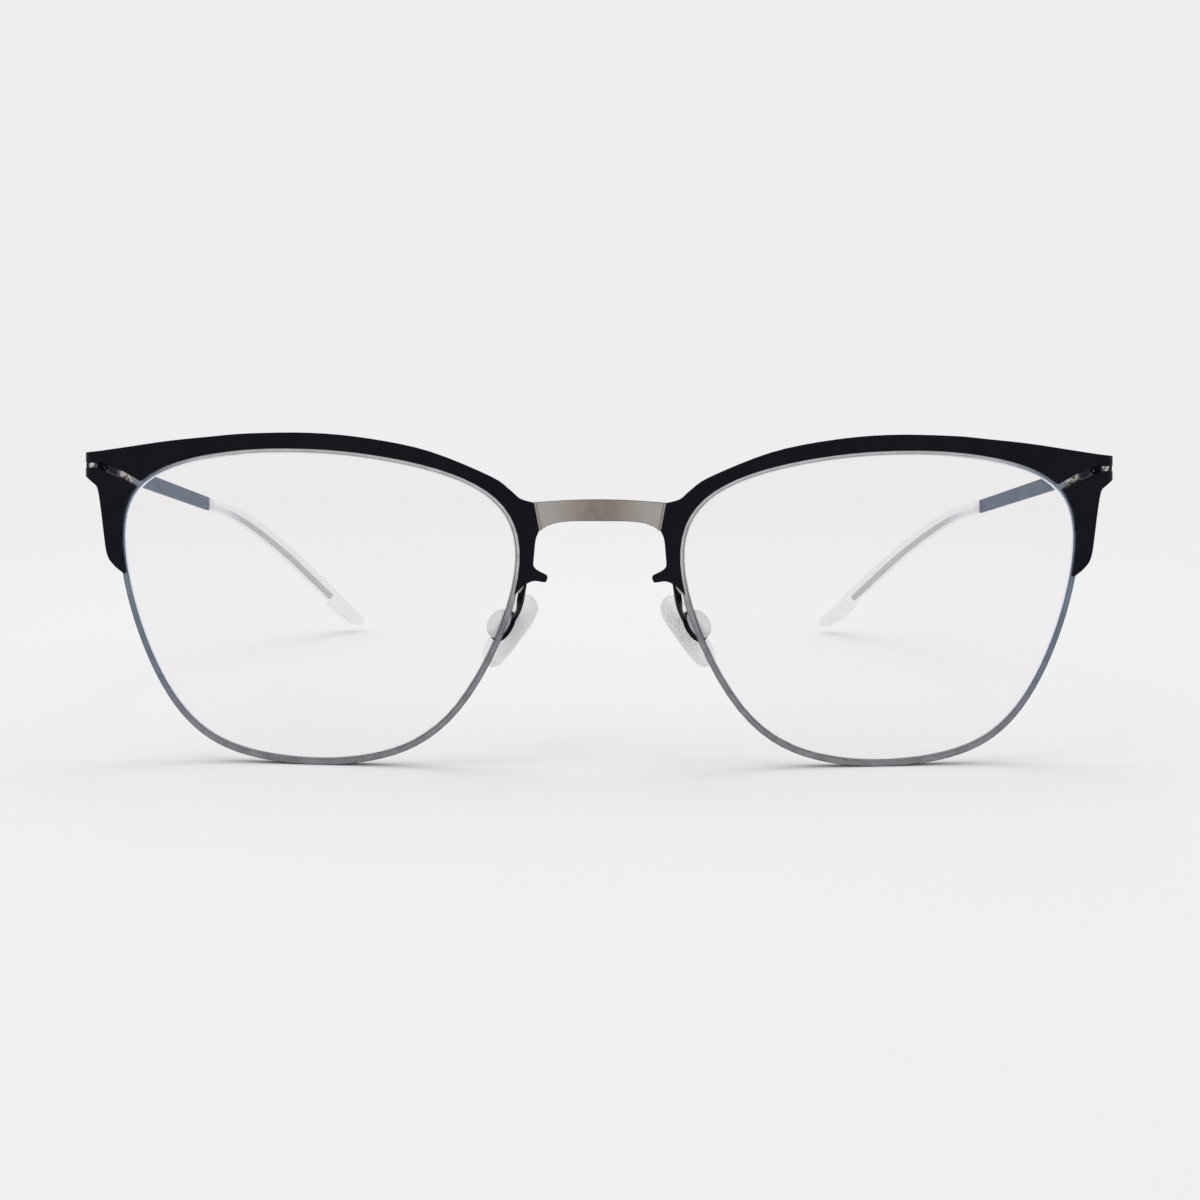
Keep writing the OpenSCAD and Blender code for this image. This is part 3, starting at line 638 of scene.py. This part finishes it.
def temple_point(s):
    slope = min(TAIL_SLOPE, TEMPLE_SLOPE + max(0, s - STRAIGHT_LEN) / EAR_BEND_R)
    y = BEND_Y + EAR_BEND_R * (math.sin(slope) - math.sin(TEMPLE_SLOPE))
    z = BEND_Z - EAR_BEND_R * (math.cos(TEMPLE_SLOPE) - math.cos(slope))
    if s < STRAIGHT_LEN:
        y, z = HINGE_Y + s * math.cos(TEMPLE_SLOPE), HINGE_Z - s * math.sin(TEMPLE_SLOPE)
    rest = max(0, s - STRAIGHT_LEN - BEND_LEN)
    y, z = y + rest * math.cos(TAIL_SLOPE), z - rest * math.sin(TAIL_SLOPE)
    turned = y - HINGE_Y - INWARD_START * math.cos(TEMPLE_SLOPE)
    full = INWARD_R * math.sin(INWARD_ANGLE)
    if turned <= 0:
        inward = 0
    elif turned <= full:
        inward = INWARD_R - math.sqrt(INWARD_R ** 2 - turned ** 2)
    else:
        inward = (INWARD_R * (1 - math.cos(INWARD_ANGLE))
                  + (turned - full) * math.tan(INWARD_ANGLE))
    return Vector((TEMPLE_X - inward, y, z))


def temple_points(count):
    return [temple_point(TEMPLE_LEN * i / count) for i in range(count + 1)]


def ease(a, b, s, start, end):
    t = min(1, max(0, (s - start) / (end - start)))
    return a + (b - a) * t * t * (3 - 2 * t)


def tip_half(s):
    return ease(TIP_H / 2, TAIL_H / 2, s, TIP_START + TIP_GROWS, STRAIGHT_LEN + BEND_LEN)


def tip_above(s):
    return tip_half(s) * ease(1, END_TAPER, s, TEMPLE_LEN - TAPER_ABOVE, TEMPLE_LEN)


def tip_below(s):
    bulge = ease(tip_half(s), PADDLE_BULGE * PADDLE_BELOW, s, PADDLE_START,
                 PADDLE_START + PADDLE_GROWS)
    return bulge * ease(1, END_TAPER / PADDLE_BULGE, s, TEMPLE_LEN - TAPER_BELOW, TEMPLE_LEN)


def tip_across(s):
    return (ease(TIP_T / 2, PADDLE_THIN * TIP_T / 2, s, PADDLE_START - PADDLE_GROWS,
                 PADDLE_START + PADDLE_GROWS)
            * ease(1, END_TAPER, s, TEMPLE_LEN - TAPER_ACROSS, TEMPLE_LEN))


def tip_size(s):
    return [tip_across(s), (tip_above(s) + tip_below(s)) / 2]


def make_tip(name, mat):
    """Clear tip: a rounded bar drawn out by extruding, then bent along the temple's path."""
    deselect()
    bpy.ops.mesh.primitive_plane_add(size=2, location=(0, 0, 0), rotation=(math.pi / 2, 0, 0))
    tip = settle(bpy.context.object, name)
    edit(tip)
    bpy.ops.mesh.select_all(action="SELECT")
    bpy.ops.mesh.bevel(offset=TIP_CORNER, segments=8, affect="VERTICES")
    bpy.ops.transform.translate(value=(0, TIP_START * MM, 0))
    shape = tip_size(TIP_START)
    bpy.ops.transform.resize(value=(shape[0] * MM * TIP_MOUTH, 1, shape[1] * MM * TIP_MOUTH),
                             center_override=(0, TIP_START * MM, 0))
    length = PADDLE_START - TIP_START
    places = [TIP_START + TIP_LIP]
    places += [TIP_START + length * i / TIP_RINGS for i in range(1, TIP_RINGS + 1)]
    places += [PADDLE_START + d for d in PADDLE_RINGS]
    here = TIP_START
    size = [v * TIP_MOUTH for v in shape]
    lift = 0.0
    for s in places:
        new = tip_size(s)
        new_lift = (tip_above(s) - tip_below(s)) / 2
        bpy.ops.mesh.extrude_region_move(
            TRANSFORM_OT_translate={"value": (0, (s - here) * MM, (new_lift - lift) * MM)})
        bpy.ops.transform.resize(value=(new[0] / size[0], 1, new[1] / size[1]),
                                 center_override=(0, s * MM, new_lift * MM))
        here, size, lift = s, new, new_lift
    bpy.ops.mesh.inset(thickness=END_INSET * MM, depth=END_DOME * MM)
    leave_edit()
    bpy.ops.object.select_all(action="DESELECT")
    path = bpy.data.curves.new("temple_path", "CURVE")
    path.dimensions = "3D"
    path.twist_mode = "Z_UP"
    spline = path.splines.new("POLY")
    spline.points.add(PATH_STEPS)
    for point, place in zip(spline.points, temple_points(PATH_STEPS)):
        point.co = (*(place * MM), 1)
    guide = bpy.data.objects.new("temple_path", path)
    bpy.context.scene.collection.objects.link(guide)
    stretch_out(tip)
    apply_modifier(tip, "CURVE", object=guide, deform_axis="POS_Y")
    bpy.data.objects.remove(guide)
    face_outwards(tip)
    smooth(tip, 75)
    coat(tip, mat)
    return tip


def stretch_out(tip):
    """Moves each ring to its place along the path, with the inward turn in its length."""
    marks = temple_points(MEASURE_STEPS)
    along = [0.0]
    for a, b in zip(marks, marks[1:]):
        along.append(along[-1] + (b - a).length)
    for v in tip.data.vertices:
        s = min(TEMPLE_LEN, v.co.y / MM)
        k = min(MEASURE_STEPS - 1, int(s / TEMPLE_LEN * MEASURE_STEPS))
        share = s / TEMPLE_LEN * MEASURE_STEPS - k
        v.co.y = (along[k] + share * (along[k + 1] - along[k])) * MM


# Directions of the left nose pad: across, along and out of its bearing face
PAD_OUT = Vector((-math.cos(PAD_SPLAY) * math.cos(PAD_LEAN), math.sin(PAD_SPLAY),
                  -math.cos(PAD_SPLAY) * math.sin(PAD_LEAN)))
PAD_UP = Vector((-math.sin(PAD_LEAN), 0, math.cos(PAD_LEAN)))
PAD_SIDE = PAD_UP.cross(PAD_OUT)
BUTTON_MID = Vector((HALF_PAD_SPAN, FRONT_Y + PAD_BACK, PAD_Z))
RING_MID = BUTTON_MID + (BUTTON_T / 2 + PAD_CLEAR + SHEET_T / 2) * PAD_OUT


# Pad: its crown, as shares of its height and its outline, then how its oval is squared
# and how much broader and higher it is at the top
PAD_CROWN = [(0, 0.72), (0.1, 0.84), (0.26, 0.95), (0.46, 1), (0.64, 0.985), (0.8, 0.93),
             (0.92, 0.85), (1, 0.72)]
PAD_INSET = 0.6
PAD_POWER = 2.7
PAD_SQUARED = 1.3
PAD_END = 0.97
TOP_BROADER = 0.16
TOP_RAISED = 0.3

# Button: its rounding, and where its attribute, which carries the painted shade of its side, starts
# to fall and how far that takes
BUTTON_ROUND = 0.95
SIDE_FROM = 0.72
SIDE_FADE = 0.25
NEAR = 1e-6


def make_nose_pad(name, mat):
    """Nose pad: a soft oval drawn up in steps, joined by its neck to a round button."""
    deselect()
    base = (SHEET_T / 2 + PAD_CLEAR) * MM
    bpy.ops.mesh.primitive_circle_add(vertices=48, radius=1, fill_type="NGON", location=(0, 0, 0))
    pad = bpy.context.object
    edit(pad)
    bpy.ops.mesh.select_all(action="SELECT")

    def oval(share):
        return (PAD_W / 2 * share * MM, (PAD_LEN / 2 - (1 - share) * PAD_W / 2) * MM)

    wide, tall = oval(PAD_CROWN[0][1])
    bpy.ops.transform.resize(value=(wide, tall, 1))
    bpy.ops.transform.translate(value=(0, -BUTTON_UP * MM, base))
    height = 0
    for rise, share in PAD_CROWN[1:]:
        new_wide, new_tall = oval(share)
        bpy.ops.mesh.extrude_region_move(
            TRANSFORM_OT_translate={"value": (0, 0, (rise - height) * PAD_T * MM)})
        bpy.ops.transform.resize(value=(new_wide / wide, new_tall / tall, 1),
                                 center_override=(0, -BUTTON_UP * MM,
                                                  base + rise * PAD_T * MM))
        wide, tall, height = new_wide, new_tall, rise
    bpy.ops.mesh.inset(thickness=PAD_INSET * MM, depth=0)
    leave_edit()
    for v in pad.data.vertices:
        end = min(PAD_END, abs(v.co.y + BUTTON_UP * MM) / (PAD_LEN / 2 * MM))
        v.co.x *= min(PAD_SQUARED,
                      (1 - end ** PAD_POWER) ** (1 / PAD_POWER) / math.sqrt(1 - end ** 2))
        top = max(0, v.co.y / (PAD_LEN / 2 * MM))
        v.co.x *= 1 + TOP_BROADER * top
        v.co.z += TOP_RAISED * MM * top * (v.co.z - base) / (PAD_T * MM)
    face_outwards(pad)
    stem_low = -(SHEET_T / 2 + PAD_CLEAR + BUTTON_T)
    bpy.ops.mesh.primitive_cylinder_add(vertices=48, radius=BUTTON_R * MM, depth=BUTTON_T * MM,
                                        location=(0, 0, (stem_low + BUTTON_T / 2) * MM))
    button = settle(bpy.context.object, "button")
    edit(button, "EDGE")
    bpy.ops.mesh.select_all(action="DESELECT")
    leave_edit()
    for e in button.data.edges:
        e.select = all(button.data.vertices[i].co.z < stem_low * MM + NEAR for i in e.vertices)
    edit(button, "EDGE")
    bpy.ops.mesh.bevel(offset=BUTTON_ROUND * MM, segments=7)
    leave_edit()
    stem = BUTTON_T / 2 + 2 * PAD_CLEAR + SHEET_T + PAD_T / 2
    bpy.ops.mesh.primitive_cylinder_add(vertices=32, radius=NECK_R * MM, depth=stem * MM,
                                        location=(0, 0, (stem_low + BUTTON_T / 2 + stem / 2) * MM))
    neck = settle(bpy.context.object, "neck")
    for extra in (button, neck):
        apply_modifier(pad, "BOOLEAN", object=extra, operation="UNION", solver="EXACT")
        bpy.data.objects.remove(extra)
    soft = pad.data.attributes.new("button", "FLOAT", "POINT")
    for v, mark in zip(pad.data.vertices, soft.data):
        away = math.hypot(v.co.x, v.co.y) / (BUTTON_R * MM)
        aside = min(1, max(0, (away - SIDE_FROM) / SIDE_FADE))
        on_button = v.co.z < -SHEET_T / 2 * MM
        mark.value = 1 - (1 - BUTTON_SIDE) * aside if on_button else 0
    frame_of_pad = Matrix((PAD_SIDE, PAD_UP, PAD_OUT)).transposed().to_4x4()
    pad.data.transform(Matrix.Translation(RING_MID * MM) @ frame_of_pad)
    settle(pad, name)
    face_outwards(pad)
    smooth(pad, 45)
    coat(pad, mat)
    return pad


# The pieces and their finishes
black = satin_black("satin_black_paint")
rim_finish = rim_steel("satin_rim_steel")
strip_finish = temple_strip("painted_temple_strip")
lens_finish = coated_lens("coated_lens")
pad_finish = milky_silicone("milky_silicone")
tip_finish = clear_plastic("clear_tip_plastic")
dress("bridge", bridge_steel("brushed_bridge_steel"))
for side in ("left", "right"):
    for part in ("brow_", "cheek_", "pad_arm_"):
        dress(part + side, black)
    dress("rim_" + side, rim_finish)
    dress("temple_" + side, strip_finish)

made = {"lens": make_lens("clear_lens_left", lens_finish),
        "nose_pad": make_nose_pad("silicone_pad_left", pad_finish),
        "temple_tip": make_tip("clear_tip_left", tip_finish)}
for part, left in made.items():
    right = other_side(left, left.name.replace("left", "right"))
    for piece, side in ((left, "left"), (right, "right")):
        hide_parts(f"{part}_{side}")
        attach(piece, f"{side}_temple" if part == "temple_tip" else "front")


# Floor, light and camera
PALE = 0.855
DAYLIGHT = (1, 0.996, 0.992)
DAYLIGHT_STRENGTH = 0.8

# Distances from the origin, in metres, between which the floor fades into the backdrop
FLOOR_FADES = (0.12, 0.6)


def pale_floor(name):
    """Pale matte floor that fades into the backdrop away from the glasses."""
    mat, tree, bsdf = new_material(name)
    set_sockets(bsdf, Roughness=0.9, Specular_IOR_Level=0.1)
    where = object_coords(tree)
    cloud = noise(tree, where, 30, 3)
    feed(tree, bsdf,
         Base_Color=mix_colour(tree, cloud, (0.895, 0.895, 0.895), (0.905, 0.905, 0.905)))
    length = tree.nodes.new("ShaderNodeVectorMath")
    length.operation = "LENGTH"
    tree.links.new(where, length.inputs[0])
    away = spread(tree, length.outputs["Value"], *FLOOR_FADES, 0, 1)
    air = tree.nodes.new("ShaderNodeBsdfTransparent")
    mixed = mix_shaders(tree, away, bsdf.outputs["BSDF"], air.outputs["BSDF"])
    tree.links.new(mixed, tree.nodes["Material Output"].inputs["Surface"])
    return mat


deselect()
bpy.ops.mesh.primitive_plane_add(size=4, location=(0, 0, 0))
floor = bpy.context.object
floor.name = "floor"
coat(floor, pale_floor("pale_floor"))

world = bpy.data.worlds.new("studio")
bpy.context.scene.world = world
world.use_nodes = True
tree = world.node_tree
tree.nodes.clear()
path = tree.nodes.new("ShaderNodeLightPath")
seen = math_node(tree, "MAXIMUM", path.outputs["Is Camera Ray"], path.outputs["Is Glossy Ray"])
seen = math_node(tree, "MAXIMUM", seen, path.outputs["Is Transmission Ray"])
backdrop = tree.nodes.new("ShaderNodeBackground")
backdrop.inputs["Color"].default_value = (PALE, PALE, PALE, 1)
lighting = tree.nodes.new("ShaderNodeBackground")
lighting.inputs["Color"].default_value = (*DAYLIGHT, 1)
lighting.inputs["Strength"].default_value = DAYLIGHT_STRENGTH
mixed = mix_shaders(tree, seen, lighting.outputs["Background"], backdrop.outputs["Background"])
tree.links.new(mixed, tree.nodes.new("ShaderNodeOutputWorld").inputs["Surface"])


def lamp(name, place, aim, width, watts):
    data = bpy.data.lights.new(name, "AREA")
    data.shape = "SQUARE"
    data.size = width
    data.energy = watts
    obj = bpy.data.objects.new(name, data)
    bpy.context.scene.collection.objects.link(obj)
    obj.location = place
    obj.rotation_euler = (Vector(aim) - Vector(place)).to_track_quat("-Z", "Y").to_euler()


lamp("key", (0.05, 0.2, 0.75), (0, -0.02, 0), 0.45, 0.96)
lamp("fill", (-0.35, -0.45, 0.7), (0, 0, 0.02), 0.5, 0.6)

# Camera, level and in front of the glasses, its view cropped as the photograph is
FOCAL_PX = 1973.0
IMAGE_PX = 1200.0
SENSOR_MM = 36
CAMERA_PLACE = (-2.8, FRONT_Y - 245.4, 48.4)
TURN = -0.0026
ROLL = 0.0036
CROP_X = 16.8
CROP_Y = -219.6
camera_data = bpy.data.cameras.new("camera")
camera_data.sensor_fit = "HORIZONTAL"
camera_data.sensor_width = SENSOR_MM
camera_data.lens = FOCAL_PX / IMAGE_PX * SENSOR_MM
camera_data.clip_start = 0.01
camera = bpy.data.objects.new("camera", camera_data)
bpy.context.scene.collection.objects.link(camera)
camera_data.shift_x = CROP_X / IMAGE_PX
camera_data.shift_y = CROP_Y / IMAGE_PX
camera.location = [v * MM for v in CAMERA_PLACE]
camera.rotation_euler = (Matrix.Rotation(TURN, 3, "Z") @ Matrix.Rotation(math.pi / 2, 3, "X")
                         @ Matrix.Rotation(ROLL, 3, "Z")).to_euler()
bpy.context.scene.camera = camera
bpy.context.scene.view_settings.view_transform = "Standard"
